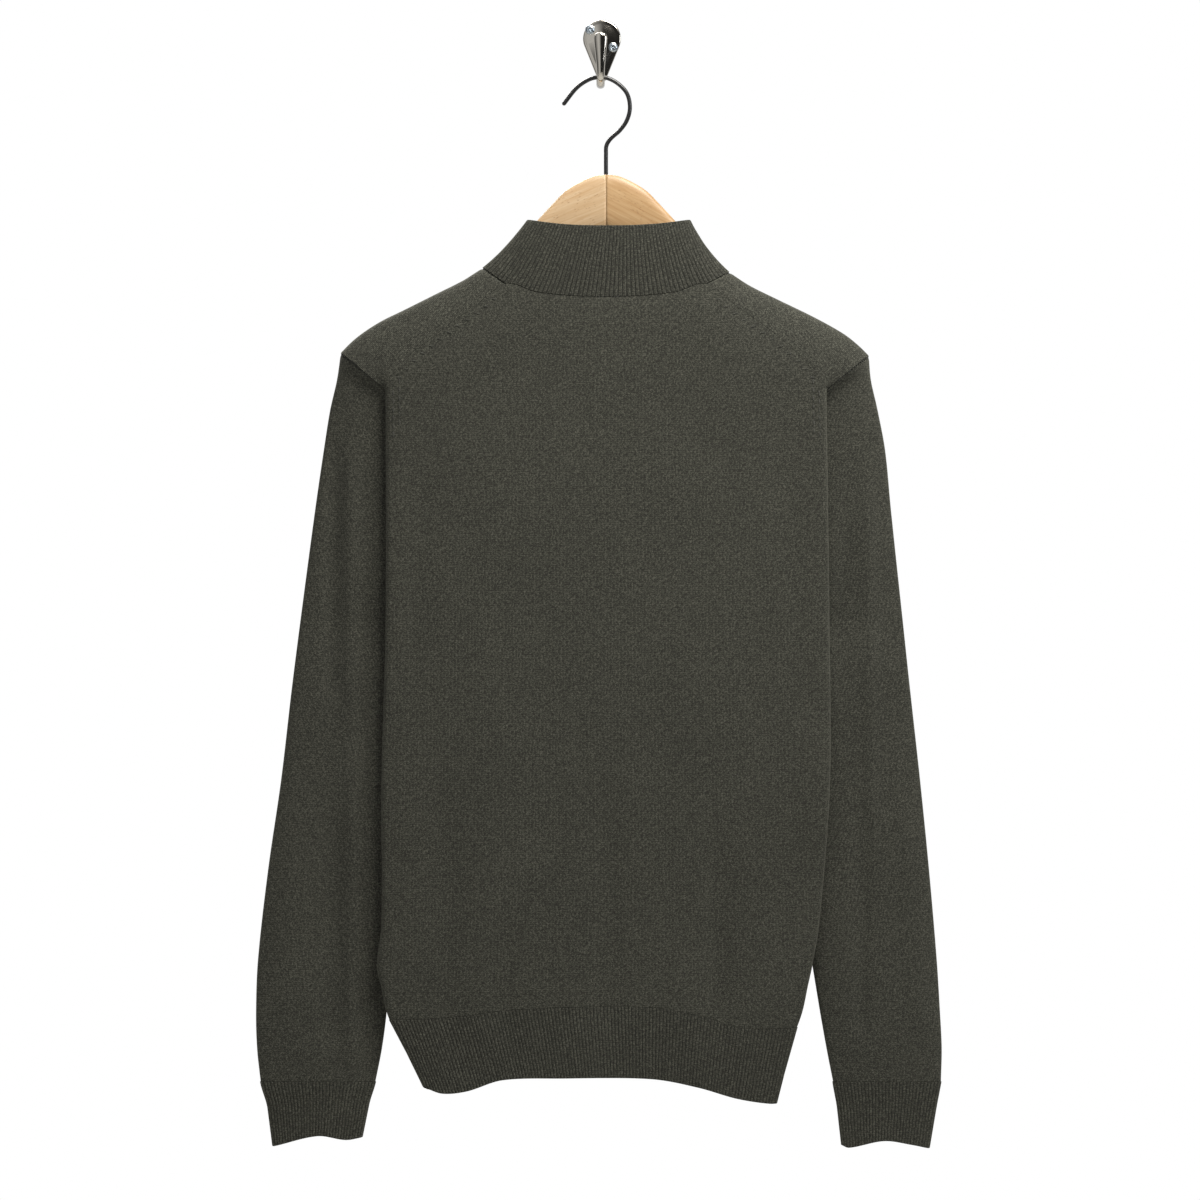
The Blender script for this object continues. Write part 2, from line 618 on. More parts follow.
# Rib bands: a wave of the given pitch along the band, raised over the plain cloth
# steps along the band and rows down its height of about band; tone is a shift to the dark side of the wool's shades
ribs = {
    "collar": {"pitch": 3.8, "height": 0.75, "steps": 720, "rows": 22, "band": 55, "tone": 0.045, "flatten": 0.45},
    "hem": {"pitch": 3.0, "height": 0.55, "steps": 960, "rows": 9, "band": 60, "tone": 0.028},
    "cuff": {"pitch": 3.0, "height": 0.55, "steps": 400, "rows": 14, "band": 50},
}


def evenSteps(line, steps):  # a line of points cut anew into equal steps along its length
    length = runLength(line)
    return readLine(line, length, np.linspace(0, length[-1], steps + 1))


def ribPatch(grid, values, edges, flip, fade=1):  # raised by height * (1 + cos(2 pi length / pitch)) / 2
    length = alongRows(grid)[:1]
    down = alongRows(grid.swapaxes(0, 1)).T
    wave = 0.5 + 0.5 * np.cos(2 * np.pi * length / values["pitch"])
    relief = values["height"] * wave * fade + 0 * down
    uv = np.stack([length + 0 * down, -down], -1)
    return patch(grid, uv, rimDistance(grid, *edges), flip=flip, relief=relief)


def bandRows(values):  # shares down a band, closer together at its edges
    rim = rimSteps / values["band"]
    shares = [np.linspace(0, 1, values["rows"]), rim, 1 - rim]
    return np.unique(np.concatenate(shares))[:, None, None]


def hem(face, material):
    rise = garment["frontHemRise"] if face > 0 else 0
    lines = []
    for key, gap in (("seam", garment["seamGap"]), ("bottom", 0)):
        line = []
        for side in (-1, 1):
            zAt = partial(seamLine, side, key, rise - gap)
            height = np.array([[zAt(garment["hemEdge"])]])
            level = (*readings(bodySides, "z", height, f"{sideName(side)} tuck"), 180, armhole["inset"][0])
            out, offset, z = bodySection(side, face, level, zAt, columns[None, :], 0)
            if key == "bottom":  # beyond the middle of the side fold the cloth ends above the open face before it
                z = np.where(columns > 1.5, np.maximum(z, zAt(out) + garment["hemTuckRise"]), z)
            spots = place(side, face, out, offset, z)[0]
            line.append(spots[::-1] if side < 0 else spots[1:])
        lines.append(evenSteps(np.concatenate(line), ribs["hem"]["steps"]))
    grid = mix(lines[0][None], lines[1][None], bandRows(ribs["hem"]))
    name = "hem_back_rib" if face < 0 else "hem_front_rib"
    return clothPiece(name, [ribPatch(grid, ribs["hem"], ("slr", "e"), face < 0)], wool["ribThickness"], material)


cuffs = {
    "topZ": -894,
    "half": (7, 6.5),
    "gather": 0.4,  # share of its height in which the rib draws the sleeve in
    "left": {"top": (291, 198.5), "bottom": (284, 208),
             "edge": table("share z", [(0, -948.6), (0.5, -939.3), (0.82, -942.7), (1, -941)])},
    "right": {"top": (285, 195), "bottom": (275.5, 201),
              "edge": table("share z", [(0, -950.3), (0.2, -946.9), (0.52, -943.5), (0.92, -949.5), (1, -947.8)])},
}


def cuff(side, material):
    name = sideName(side)
    values, (halfTop, halfBottom) = cuffs[name], cuffs["half"]
    turn = np.linspace(-1, 1, 241)
    end = sleeveGrid["bottom"]
    hemZ = reading(values["edge"], "share", (1 - np.cos(np.pi * turn)) / 2, "z")
    sleeveEnd = readings(sleeveEdges[name], "z", end, "outer inner")
    lines = []
    for (outer, inner), half, z in ((values["top"], halfTop, cuffs["topZ"] + 0 * turn),
                                    (values["bottom"], halfBottom, hemZ),
                                    (sleeveEnd, halfTop + 0.5, end - garment["seamGap"] + 0 * turn)):
        line = tubePoint(side, turn, outer, inner, half, np.zeros(1), z)
        line[-1] = line[0]
        lines.append(evenSteps(line, ribs["cuff"]["steps"]))
    share = bandRows(ribs["cuff"])
    gather = 1 - smooth(share / cuffs["gather"])
    grid = mix(lines[0][None], lines[1][None], share) + (lines[2] - lines[0])[None] * gather
    grid[:, -1] = grid[:, 0]
    band = ribPatch(grid, ribs["cuff"], ("s", "e"), side > 0)
    return clothPiece(f"cuff_{name}_rib", [band], wool["ribThickness"], material)


collarShape = {
    "back": -165,
    "corner": -158.5,
    "front": -226,
    "left": 66.5,
    "right": 71.5,
    "backOffset": 20,
    "frontOffset": 21,
    "hollow": 3.6,
}


def neckEdge():
    # the front's neck edge, the yoke's inner edge and the back's neck edge, round from slit to slit
    neck, up = slice(0, neckColumn), [0, 0, garment["seamGap"]]
    front = {s: place(s, 1, *(part[-1, neck] for part in halves[s, 1])) for s in (-1, 1)}
    back = {s: place(s, -1, *(part[-1, neck] for part in halves[s, -1])) + up for s in (-1, 1)}
    over = {s: shoulders[s][:, 0] for s in (-1, 1)}
    return np.concatenate([front[-1], over[-1][::-1], back[-1][::-1], back[1][1:], over[1], front[1][::-1]])


def collarEdge():
    # top edge: a flat oval, high at the back and lower at the front
    shape = collarShape
    slit = math.asin(garment["zipHalf"] / shape["left"])
    turn = np.linspace(slit - np.pi, np.pi - slit, 241)
    back, flank = np.cos(turn) > 0, abs(np.sin(turn))
    out = np.where(turn < 0, shape["left"], shape["right"]) * flank
    z = mix(np.where(back, shape["back"], shape["front"]), shape["corner"], flank ** np.where(back, 2.5, 1.6))
    offset = np.where(back, shape["backOffset"], shape["frontOffset"]) * abs(np.cos(turn)) ** 0.8
    return place(np.where(turn < 0, -1, 1), np.where(back, -1, 1), out, offset, z)


collarBase = evenSteps(neckEdge(), ribs["collar"]["steps"])
collarCrown = evenSteps(collarEdge(), ribs["collar"]["steps"])


def collarGrid(share):
    # straight from base to crown, with the sides curved in by hollow * 4 s (1 - s)
    rise = collarCrown - collarBase
    start = collarBase + garment["seamGap"] * unit(rise)
    grid = mix(start[None], collarCrown[None], share)
    x = grid[..., 0] - garment["centreX"]
    flank = np.minimum(abs(x) / garment["neckHalf"], 1)
    grid[..., 0] -= np.sign(x) * collarShape["hollow"] * 4 * share[..., 0] * (1 - share[..., 0]) * flank**2
    return grid


def collar(material):
    share = bandRows(ribs["collar"])
    fade = 1 - ribs["collar"]["flatten"] * smooth(share[..., 0])
    return clothPiece("collar_rib", [ribPatch(collarGrid(share), ribs["collar"], ("slr", "e"), False, fade)],
                      wool["collarThickness"], material)


# Small pieces set in a row along a line: stitches, marks and teeth


def capsule(length, width, height, rings=7, around=8):  # ellipsoid rings along X: radius sin(a), place cos(a)
    a = np.linspace(0.12, np.pi - 0.12, rings)[:, None]
    b = circle(around)[None, :]
    ring = points(-np.cos(a) * length / 2, np.sin(a) * np.cos(b) * width / 2, np.sin(a) * np.sin(b) * height / 2)
    return ringMesh(ring)


def ringMesh(rings):  # rings of points joined by quads, the two ends closed by flat faces
    count, around = rings.shape[:2]
    a = np.arange(count - 1)[:, None] * around
    k = np.arange(around)[None, :]
    n = (k + 1) % around
    quads = np.stack([a + k, a + n, a + n + around, a + k + around], -1).reshape(-1, 4).tolist()
    last = (count - 1) * around
    return rings.reshape(-1, 3), quads + [list(range(around))[::-1], list(range(last, last + around))]


def lineFrames(line, normal, pitch, shift=0.5):
    # places every pitch millimetres along a line, with the directions along it, across it and off the surface
    length = runLength(line)
    at = np.arange(pitch * shift, length[-1], pitch)
    tangent = unit(readLine(np.gradient(line, axis=0), length, at))
    up = readLine(normal, length, at)
    up = unit(up - tangent * np.sum(up * tangent, 1, keepdims=True))
    return readLine(line, length, at), tangent, np.cross(up, tangent), up


def copiesAlong(frames, piece, lift=0, turn=0):  # the piece's X goes along the line, turned by turn towards Y
    spots, tangent, across, up = frames
    vertices, faces = piece
    c, s = math.cos(turn), math.sin(turn)
    x, y, z = (vertices[:, k] for k in range(3))
    turned = np.stack([c * x - s * y, s * x + c * y, z + lift], -1)
    axes = np.stack([tangent, across, up], 1)
    placed = spots[:, None] + np.einsum("vk,nkj->nvj", turned, axes)
    starts = np.arange(len(spots)) * len(vertices)
    return placed.reshape(-1, 3), [[i + start for i in face] for start in starts.tolist() for face in faces]


def rowOfPieces(name, groups, material):  # several groups of copies as one mesh
    vertices, faces, start = [], [], 0
    for spots, polygons in groups:
        vertices.append(spots)
        faces += [[i + start for i in face] for face in polygons]
        start += len(spots)
    return meshObject(name, np.concatenate(vertices), faces, None, material)


def surfaceNormals(grid, outwards):  # cross product of a grid's two directions
    return unit(np.cross(np.gradient(grid, axis=1), np.gradient(grid, axis=0)) * outwards)


sewing = {
    "seamPitch": 2.6,
    "seamStitch": (2.9, 1.5, 1.0),
    "seamTurn": 0.35,
    "sink": {"collar": -0.75, "shoulder": -0.72, "armhole": -0.9},
    "markPitch": 9.5,
    "columnPitch": 7.0,
    "mark": (4.6, 1.5, 0.9),
    "markInset": 7.5,
    "markTurn": 0.9,
    "lift": {"mark": 0.12, "column": 0.2, "zip": 0.1},
    "backHeight": 270,  # from the underarm to the shoulder seam
    "zipPitch": 3.4,
    "zipStitch": (2.7, 0.8, 0.7),
}


def seamStitches(material):
    # linked loops along the neck, shoulder and armhole seams, sunk between the two cloths
    loop = capsule(*sewing["seamStitch"])
    base = collarBase + (collarCrown - collarBase) * 0.004
    lines = [("collar", base, surfaceNormals(collarGrid(np.array([0.0, 0.03])[:, None, None]), 1)[0])]
    for side in (-1, 1):
        yoke, normals = shoulders[side], surfaceNormals(shoulders[side], side)
        lines += [("shoulder", yoke[0], normals[0]), ("armhole", yoke[:, -1], normals[:, -1])]
    groups = []
    for seam, line, normal in lines:
        frames = lineFrames(line, normal, sewing["seamPitch"])
        groups.append(copiesAlong(frames, loop, sewing["sink"][seam], sewing["seamTurn"]))
    return rowOfPieces("seam_stitches", groups, material)


def fashionMarks(material):
    # transferred stitches in a row below the back's shoulder seams, and in two columns beside the side folds
    mark = capsule(*sewing["mark"])
    groups = []
    for side in (-1, 1):
        rows = 2 - np.array([sewing["markInset"] + 2, sewing["markInset"]]) / sewing["backHeight"]
        grid = place(side, -1, *panelHalf(side, -1, rows, np.linspace(neckShare + 0.02, 0.99, 60)))
        frames = lineFrames(grid[1], surfaceNormals(grid, side)[1], sewing["markPitch"], 0.8)
        groups.append(copiesAlong(frames, mark, sewing["lift"]["mark"], turn=side * sewing["markTurn"]))
        grid = place(side, -1, *panelHalf(side, -1, np.linspace(1.98, 1.76, 30), np.array([0.962, 0.99])))
        normal = surfaceNormals(grid, -side)
        for k in (0, 1):
            frames = lineFrames(grid[:, k], normal[:, k], sewing["columnPitch"], 0.7 + 0.3 * k)
            groups.append(copiesAlong(frames, mark, sewing["lift"]["column"]))
    return rowOfPieces("fashion_marks", groups, material)


# Zip: tapes, teeth and bottom stop; the slider and its pull are the frame's own
zipForm = {
    "tapeInner": 2.05,
    "tapeOuter": 4.4,
    "tapeDepth": 0.3,
    "tapeThickness": 1.0,
    "toothPitch": 1.5,
    "tooth": (2.3, 0.85, 1.5),
    "toothOut": 0.55,
    "toothDepth": 0.35,
    "stopRoom": 4,
    "bottomStop": (3.2, 4.6, 2.0),
    "stopLow": 2.6,  # the stop's line, below the slit's end
    "stopHigh": 0.6,
    "stopDepth": 0.3,
}


def zipLine():  # the zip's middle line: up the slit and on up the collar's front, on the cloth's face
    offset, z = (part[slitRow:, 0] for part in halves[1, 1][1:])
    upper = collarGrid(np.linspace(0.02, 1, 24)[:, None, None])[:, -1]
    y = np.concatenate([garment["middleY"] + offset, upper[:, 1]])
    return points(garment["centreX"], y, np.concatenate([z, upper[:, 2]]))


def zipTape(side, material):
    line = zipLine() + [0, -zipForm["tapeDepth"], 0]
    across = np.linspace(zipForm["tapeInner"], zipForm["tapeOuter"], 9)
    grid = line[:, None] + points(side * across, 0, 0)[None]
    grid[0, :, 2] += garment["seamGap"]
    tape = patch(grid, gridUv(grid, 0), rimDistance(grid, "selr"), flip=side > 0)
    return clothPiece(f"zip_tape_{sideName(side)}_cloth", [tape], zipForm["tapeThickness"], material)


def box(x, y, z, taper=0.8):  # a block of these sizes, its far end in X narrower
    corners = points(np.array([-1, 1, 1, -1, -1, 1, 1, -1]) * x / 2,
                     np.array([-1, -taper, taper, 1, -1, -taper, taper, 1]) * y / 2,
                     np.array([-1, -1, -1, -1, 1, 1, 1, 1]) * z / 2)
    return corners, [[3, 2, 1, 0], [4, 5, 6, 7], [0, 1, 5, 4], [1, 2, 6, 5], [2, 3, 7, 6], [3, 0, 4, 7]]


def zipTeeth(material):
    # two rows of teeth, half a pitch apart in turn, and one block below the first of them
    line = zipLine()
    line = line[line[:, 2] > line[0, 2] + zipForm["stopRoom"]]
    normal = points(np.zeros(len(line)), np.ones(len(line)), 0)
    tooth, depth = box(*zipForm["tooth"]), zipForm["toothDepth"]
    groups = []
    for side in (-1, 1):
        beside = line + [side * zipForm["toothOut"], 0, 0]
        frames = lineFrames(beside, normal, zipForm["toothPitch"], 0.25 + 0.25 * (side + 1))
        groups.append(copiesAlong(frames, tooth, lift=-depth, turn=side * math.pi / 2))
    below = line[:2].copy()
    below[:, 2] = line[0, 2] - [zipForm["stopLow"], zipForm["stopHigh"]]
    frames = lineFrames(below, normal[:2], 9, 0.08)  # one place
    groups.append(copiesAlong(frames, box(*zipForm["bottomStop"], 1), lift=-zipForm["stopDepth"]))
    return rowOfPieces("zip_teeth", groups, material)


def zipStitches(material):
    thread = capsule(*sewing["zipStitch"])
    groups = []
    for side in (-1, 1):
        grid = place(side, 1, *(part[slitRow:, 1:5] for part in halves[side, 1]))
        frames = lineFrames(grid[:, 1], surfaceNormals(grid, -side)[:, 1], sewing["zipPitch"])
        groups.append(copiesAlong(frames, thread, sewing["lift"]["zip"]))
    return rowOfPieces("zip_stitches", groups, material)


# Hanger, wire hook and wall hook


def ringObject(name, solids, material):  # one or more ring solids as one object
    return rowOfPieces(name, [ringMesh(rings) for rings in solids], material)


hanger = {
    "halfDepth": 6,
    "cornerPower": 0.62,
    "tipRound": 9,
    "neck": table("out top bottom", [
        (0, -120.2, -165.5), (4, -120.4, -168.5), (10, -121.2, -170), (19, -124.8, -172.5), (34, -133.6, -177),
        (45, -144.6, -183), (57, -157.5, -191), (74, -176.5, -205), (92, -196.5, -220), (105, -208.5, -231),
    ]),
    "arm": (118, 135, 152, 169, 186, 200, 210, 216),
    "drop": 2.7,
    "armHeights": (24, 15),
    "steps": 110,
    "around": 56,
}


def hangerArm(side, material):
    # section at each place along the arm: y = halfDepth cos^p, z = middle + half height sin^p, drawn in
    # towards the tip by the square root of 1 - t^2
    arm = np.array(hanger["arm"], float)
    top = reading(shoulderTop, "out", arm, sideName(side)) - hanger["drop"]
    bottom = top - mix(*hanger["armHeights"], np.linspace(0, 1, len(arm)))
    neck = hanger["neck"]
    rows = {"out": np.concatenate([neck["out"], arm]), "top": np.concatenate([neck["top"], top]),
            "bottom": np.concatenate([neck["bottom"], bottom])}
    end, tip = arm[-1], hanger["tipRound"]
    close = end - tip * (1 - np.sin(np.linspace(0, np.pi / 2, 14)))
    out = np.unique(np.concatenate([np.linspace(0, end, hanger["steps"]), close]))
    top, bottom = readings(rows, "out", out[:, None], "top bottom")
    slim = np.sqrt(1 - np.clip((out - end + tip) / (tip * 1.04), 0, 1) ** 2)[:, None]
    angle = circle(hanger["around"])[None, :]
    across, up = (np.sign(f) * abs(f) ** hanger["cornerPower"] * slim for f in (np.cos(angle), np.sin(angle)))
    y, z = hanger["halfDepth"] * across, (top + bottom) / 2 + (top - bottom) / 2 * up
    rings = points(garment["centreX"] + side * out[:, None], garment["middleY"] + y, z)
    return ringObject(f"hanger_wood_{sideName(side)}", [rings], material)


wire = {
    "radius": 1.8,
    "steps": 220,
    "around": 20,
    "route": [
        (-32.3, -59.5), (-23, -47.6), (-15.3, -41.3), (-6.8, -37.6), (3, -37.4), (13.2, -42.2), (21.3, -51),
        (23.8, -62.9), (21.3, -73.6), (15.3, -82.3), (7.3, -89.6), (3.8, -95.5), (3.4, -103), (3.4, -119.9),
    ],
}


def wireHook(material):
    # tube round a cubic through the route, its key the root of the distance; a half ball closes its tip
    route = np.array(wire["route"])
    key = runLength(route, 0.5)
    rows = {"key": key, "x": route[:, 0], "z": route[:, 1]}
    at = np.linspace(0, key[-1], wire["steps"])
    x, z = readings(rows, "key", at, "x z")
    line = points(x, garment["middleY"], z)
    tangent = unit(np.gradient(line, axis=0))
    bend = np.linspace(0, np.pi / 2, 7)[1:]
    tip = line[0] - wire["radius"] * np.sin(bend)[::-1, None] * tangent[0]
    radius = wire["radius"] * np.concatenate([np.maximum(np.cos(bend[::-1]), 0.02), np.ones(len(line))])
    line, tangent = np.concatenate([tip, line]), np.concatenate([np.repeat(tangent[:1], len(tip), 0), tangent])
    sideways = points(0 * radius, 1, 0)
    other = np.cross(tangent, sideways)
    angle = circle(wire["around"])[None, :, None]
    around = np.cos(angle) * sideways[:, None] + np.sin(angle) * other[:, None]
    rings = line[:, None] + radius[:, None, None] * around
    return ringObject("hanger_wire", [rings], material)


wallHook = {
    "radius": 16.3,
    "footZ": -33.5,
    "footRadius": 3.8,
    "dome": 1.6,
    "profile": [(0.4, 0), (0, -0.4), (0, -1.7), (0.18, -2.25), (0.6, -2.7), (1.2, -2.92), (2.0, -3.0), (3.3, -3.02)],
    "fingerX": -1.2,
    "fingerSteps": 110,
    "fingerAround": 36,
    "finger": [
        (-1.6, -27, 3.4, 1.3), (-4, -35, 3.6, 2.2), (-12, -41.2, 3.5, 2.6), (-22, -42.6, 3.4, 2.8),
        (-31, -42.3, 3.4, 2.8), (-38, -38.2, 3.4, 2.8), (-41.5, -30, 3.7, 2.8), (-43, -19, 4.6, 2.7),
        (-44, -8, 5.6, 2.6), (-44.4, -3.5, 5.2, 2.3), (-44.6, -1.2, 2.6, 1.2), (-44.62, -0.9, 0.5, 0.3),
    ],
}


def wallPlate():
    # the outline is the hull of a large and a small circle, drawn inwards along a rounded profile
    shape = wallHook
    inset, y = np.array(shape["profile"]).T[..., None]
    lean = math.asin((shape["radius"] - shape["footRadius"]) / -shape["footZ"])
    head = np.linspace(-lean, np.pi + lean, 120)[None, :]
    foot = np.linspace(np.pi + lean, 2 * np.pi - lean, 30)[None, :]
    big, small = shape["radius"] - inset, shape["footRadius"] - inset
    x = np.concatenate([big * np.cos(head), small * np.cos(foot)], 1)
    z = np.concatenate([big * np.sin(head), shape["footZ"] + small * np.sin(foot)], 1)
    # the cast face: from the last outline t of the way to the plate's spine, raised by dome * sin(90 t)
    t = np.linspace(0.05, 0.985, 24)[:, None]
    spine = np.concatenate([0 * head, shape["footZ"] + 0 * foot], 1)
    crown = points(x[-1:] * (1 - t), y[-1:] - shape["dome"] * np.sin(t * np.pi / 2), mix(z[-1:], spine, t))
    return np.concatenate([points(x, y, z), crown])


def wallFinger():
    # oval sections square to the finger's line in the plane through the hook's middle
    rows = np.array(wallHook["finger"], float)
    key = runLength(rows[:, :2], 0.5)
    columnsOf = {"key": key, **dict(zip(("y", "z", "wide", "thick"), rows.T))}
    at = np.linspace(0, key[-2], wallHook["fingerSteps"])
    at = np.concatenate([at, np.linspace(key[-2], key[-1], 10)[1:]])
    y, z, wide, thick = readings(columnsOf, "key", at[:, None], "y z wide thick")
    dy, dz = np.gradient(y[:, 0])[:, None], np.gradient(z[:, 0])[:, None]
    length = np.hypot(dy, dz)
    angle = circle(wallHook["fingerAround"])[None, :]
    rise = thick * np.sin(angle)
    return points(wallHook["fingerX"] + wide * np.cos(angle), y + dz / length * rise, z - dy / length * rise)


screws = {
    "plateFace": -3.0,
    "radius": 4.2,
    "height": 2.2,
    "rim": 0.5,
    "places": [("wall_screw_head_upper", -10.2, 7.6, 0.3), ("wall_screw_head_lower", 9.4, -7.6, 0.9)],
    "slotLength": 2.3,
    "slotWidth": 0.5,
    "slotDepth": 1.3,
    "slopes": (2.2, 4),  # of the recess at the arms' ends and sides
    "rise": 0.45,  # share of its depth lost towards the arms' ends
    "around": 120,
}


def screwHead(name, x0, z0, turn, material):
    # pan head: rim + (height - rim)(1 - r^3.2)^0.8, with a cross-shaped recess, deepest in its middle
    radius = screws["radius"] * np.concatenate([np.linspace(0.015, 0.96, 40), [0.985, 1, 1]])[:, None]
    angle = circle(screws["around"])[None, :]
    u, v = radius * np.cos(angle), radius * np.sin(angle)
    share = radius / screws["radius"]
    height = screws["rim"] + (screws["height"] - screws["rim"]) * np.clip(1 - share**3.2, 0, 1) ** 0.8 + 0 * u
    length, width, (ends, sides) = screws["slotLength"], screws["slotWidth"], screws["slopes"]
    arms = [np.minimum((length - abs(a)) * ends, (width - abs(b)) * sides) for a, b in ((u, v), (v, u))]
    recess = smooth(np.maximum(*arms)) * screws["slotDepth"] * (1 - screws["rise"] * radius / length).clip(0.25, 1)
    height = np.where(share < 0.9, height - recess, height)
    height[-1] = 0
    c, s = math.cos(turn), math.sin(turn)
    rings = points(x0 + c * u - s * v, screws["plateFace"] - height, z0 + s * u + c * v)
    return ringObject(name, [rings], material)


# Materials


def colour(code):  # an sRGB hex colour as linear red, green, blue and alpha
    srgb = np.array([int(code[i:i + 2], 16) for i in (1, 3, 5)]) / 255
    return (*np.where(srgb <= 0.04045, srgb / 12.92, ((srgb + 0.055) / 1.055) ** 2.4), 1)


def add(tree, kind, inputs=None, out=0, **settings):  # adds a node with its settings and links, gives an output
    made = tree.nodes.new("ShaderNode" + kind)
    for key, value in settings.items():
        setattr(made, key, value)
    for key, value in (inputs or {}).items():
        if isinstance(value, bpy.types.NodeSocket):
            tree.links.new(value, made.inputs[key])
        else:
            made.inputs[key].default_value = value
    return made.outputs[out] if made.outputs else made


def maths(tree, operation, *values, kind="Math"):  # a maths node on numbers or outputs
    return add(tree, kind, dict(enumerate(values)), operation=operation)


def noise(tree, spot, scale, detail, out=0, **more):
    return add(tree, "TexNoise", {"Vector": spot, "Scale": scale, "Detail": detail, **more}, out)


def blend(tree, share, a, b):  # a mixed into b by share
    return add(tree, "Mix", {"Factor": share, "A": a, "B": b}, out="Result", data_type="RGBA")


def emptyMaterial(name):
    made = bpy.data.materials.new(name)
    made.use_nodes = True
    made.node_tree.nodes.clear()
    return made, made.node_tree


def finishMaterial(tree, inputs):
    surface = add(tree, "BsdfPrincipled", inputs)
    add(tree, "OutputMaterial", {"Surface": surface})


def ramp(tree, fac, stops):  # colour ramp through (place, colour) stops
    out, stops = add(tree, "ValToRGB", {"Fac": fac}), list(stops)
    elements = out.node.color_ramp.elements
    while len(elements) < len(stops):
        elements.new(0.5)
    for element, (at, code) in zip(elements, stops):
        element.position, element.color = at, colour(code)
    return out


knit = {
    "dark": "#191a15",
    "middle": "#35352f",
    "light": "#65655a",
    "wale": 2.4,  # millimetres between two columns of stitches; the real 1.3 is too fine to show
    "course": 1.8,
    "relief": 0.28,
    "ribRelief": 0.2,
    "groove": 0.065,  # how much of the three shades' range a rib's grooves take
    "sway": (0.55, 0.4, 0),  # millimetres that stitches drift sideways and down
    "bump": 0.75,
    # noise scales, per metre: drift of the stitches, fuzz, fibres and clouds of shade
    "drift": 260,
    "fuzz": 1500,
    "fibre": 760,
    "cloud": 14,
    # what fuzz adds to a stitch's height, and clouds and height to the shade
    "fuzzShare": 0.7,
    "cloudShare": 0.05,
    "heightShare": 0.16,
    "shades": (0.42, 0.64, 0.86),
}


def woolMaterial(name, rib=None):
    # fine melange wool: V stitches in raised columns, fibres of three shades, and a soft nap at the edges;
    # a rib is darker in its grooves
    wale, relief = (rib["pitch"], knit["ribRelief"]) if rib else (knit["wale"], knit["relief"])
    made, tree = emptyMaterial(name)
    uv = add(tree, "UVMap", uv_map="knit")
    spot = add(tree, "TexCoord", out="Object")
    # turned, to keep the grain even on flat cloth
    spot = add(tree, "Mapping", {"Vector": spot, "Rotation": (0.6, 0.45, 0.3)})
    wobble = noise(tree, spot, knit["drift"], 1, "Color")
    moved = maths(tree, "SUBTRACT", wobble, (0.5, 0.5, 0.5), kind="VectorMath")
    moved = maths(tree, "MULTIPLY_ADD", moved, knit["sway"], uv, kind="VectorMath")
    cell = maths(tree, "MULTIPLY", moved, (1 / wale, 1 / knit["course"], 1), kind="VectorMath")
    parts = add(tree, "SeparateXYZ", {"Vector": cell})
    # a = |x - 0.5| within a column; height is sin(2 pi a)(0.75 + 0.25 sin(2 pi (y - 1.5 a))) plus fuzz
    within = maths(tree, "SUBTRACT", maths(tree, "FRACT", parts), 0.5)
    away = maths(tree, "ABSOLUTE", within)
    leg = maths(tree, "SINE", maths(tree, "MULTIPLY", away, 2 * math.pi))
    slant = maths(tree, "MULTIPLY_ADD", away, -1.5, parts.node.outputs["Y"])
    loop = maths(tree, "SINE", maths(tree, "MULTIPLY", slant, 2 * math.pi))
    loop = maths(tree, "MULTIPLY_ADD", loop, 0.25, 0.75)
    height = maths(tree, "MULTIPLY", leg, loop)
    fuzz = noise(tree, spot, knit["fuzz"], 3, Roughness=0.65)
    height = maths(tree, "MULTIPLY_ADD", fuzz, knit["fuzzShare"], height)
    bump = add(tree, "Bump", {"Height": height, "Strength": knit["bump"], "Distance": relief / 1000})
    fibre = noise(tree, spot, knit["fibre"], 4, Roughness=0.72)
    cloud = noise(tree, spot, knit["cloud"], 2)
    shade = maths(tree, "MULTIPLY_ADD", cloud, knit["cloudShare"], fibre)
    shade = maths(tree, "MULTIPLY_ADD", height, knit["heightShare"], shade)
    if rib:
        across = add(tree, "SeparateXYZ", {"Vector": uv}, out="X")
        across = maths(tree, "MULTIPLY", across, 2 * math.pi / rib["pitch"])
        groove = maths(tree, "COSINE", across)
        shade = maths(tree, "MULTIPLY_ADD", groove, knit["groove"], shade)
        shade = maths(tree, "SUBTRACT", shade, rib["tone"])
    base = ramp(tree, shade, zip(knit["shades"], (knit["dark"], knit["middle"], knit["light"])))
    finishMaterial(tree, {
        "Base Color": base, "Roughness": 0.92, "IOR": 1.54, "Specular IOR Level": 0.25, "Normal": bump,
        "Sheen Weight": 0.25, "Sheen Roughness": 0.45, "Sheen Tint": colour("#b8b8a8"),
    })
    return made


def threadMaterial(name, code):  # doubled wool yarn of the seams, a little darker in its hollows
    made, tree = emptyMaterial(name)
    spot = add(tree, "TexCoord", out="Object")
    fibre = noise(tree, spot, 1900, 2)
    base = ramp(tree, fibre, [(0.3, knit["dark"]), (0.7, code)])
    bump = add(tree, "Bump", {"Height": fibre, "Strength": 0.6, "Distance": 0.0002})
    finishMaterial(tree, {"Base Color": base, "Roughness": 0.9, "IOR": 1.54, "Specular IOR Level": 0.25,
                          "Normal": bump, "Sheen Weight": 0.3})
    return made


def tapeMaterial():  # herringbone twill of the zip's polyester tape, ribs 0.6 mm apart
    made, tree = emptyMaterial("polyester_zip_tape")
    uv = add(tree, "UVMap", uv_map="knit")
    weave = add(tree, "TexWave", {"Vector": uv, "Scale": 0.27, "Distortion": 0.4}, out="Fac",
                bands_direction="DIAGONAL")
    base = ramp(tree, weave, [(0.2, "#26261f"), (0.9, "#3a3a32")])
    bump = add(tree, "Bump", {"Height": weave, "Strength": 0.5, "Distance": 0.0002})
    finishMaterial(tree, {"Base Color": base, "Roughness": 0.7, "IOR": 1.5, "Normal": bump})
    return made


